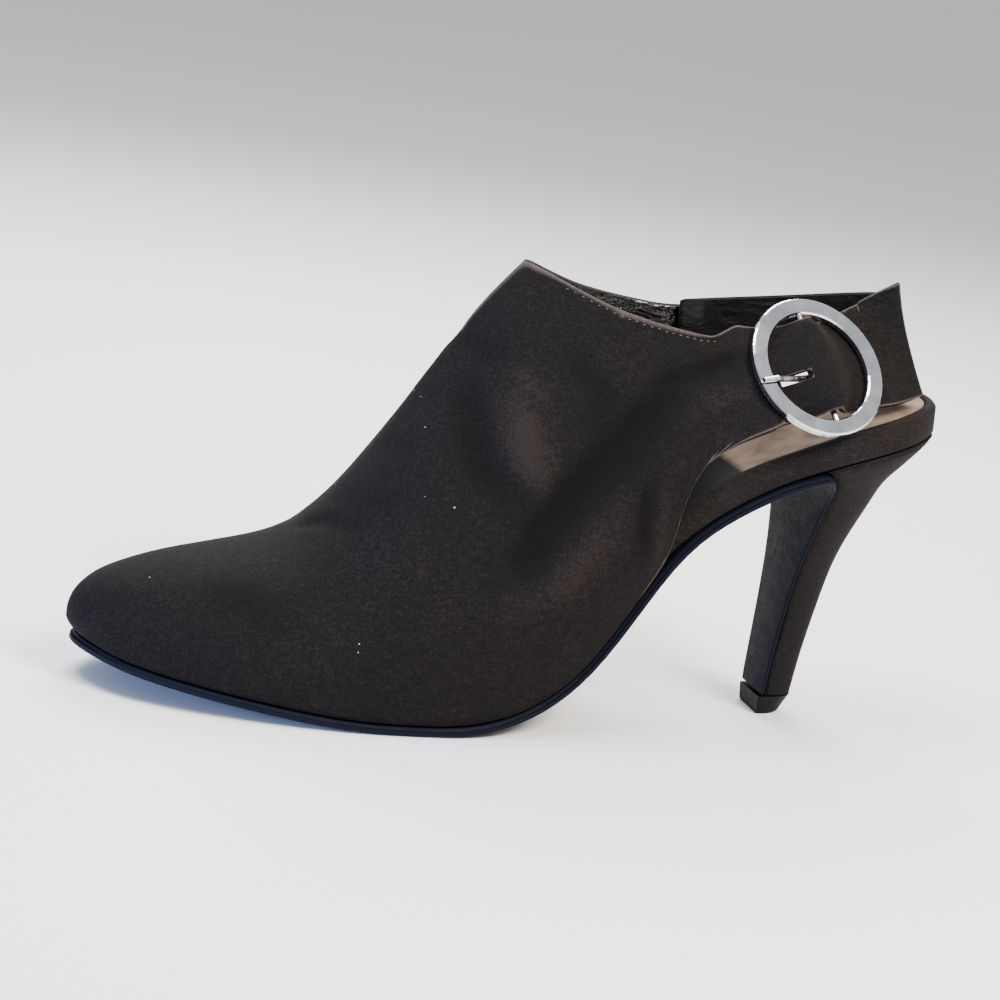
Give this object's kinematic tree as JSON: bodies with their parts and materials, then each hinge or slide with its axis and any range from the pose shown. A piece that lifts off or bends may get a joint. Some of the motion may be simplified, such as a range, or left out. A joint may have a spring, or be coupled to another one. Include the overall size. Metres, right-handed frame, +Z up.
{
  "type": "slingback_shoe",
  "caption": "Black suede high-heeled slingback shoe for the left foot: closed almond toe, cut-out sides, heel strap with a round steel ring buckle, slim curved heel.",
  "frame": {"origin": "on the floor in the middle of the flat of the tread", "axes": "+Z up, +X from the toe to the heel, -Y to the lateral side of the left foot"},
  "size_m": [0.2315, 0.0751, 0.1243],
  "materials": {
    "black_microsuede": "napped black microsuede on a lining",
    "black_strap_suede": "napped black microsuede strap",
    "polished_steel": "polished",
    "steel_pin": "polished pin",
    "black_wrap_suede": "napped black wrap on the insole board",
    "taupe_sock_lining": "soft matt lining",
    "black_resin": "smooth sole resin with a low sheen",
    "black_heel_suede": "napped black heel cover",
    "black_hard_rubber": "hard matt top piece"
  },
  "bodies": {
    "root": {"upper": "black_microsuede", "sling_strap": "black_strap_suede", "buckle": "polished_steel", "prong": "steel_pin", "footbed": "black_wrap_suede", "sock": "taupe_sock_lining", "outsole": "black_resin", "heel": "black_heel_suede", "top_lift": "black_hard_rubber"}
  },
  "joints": []
}
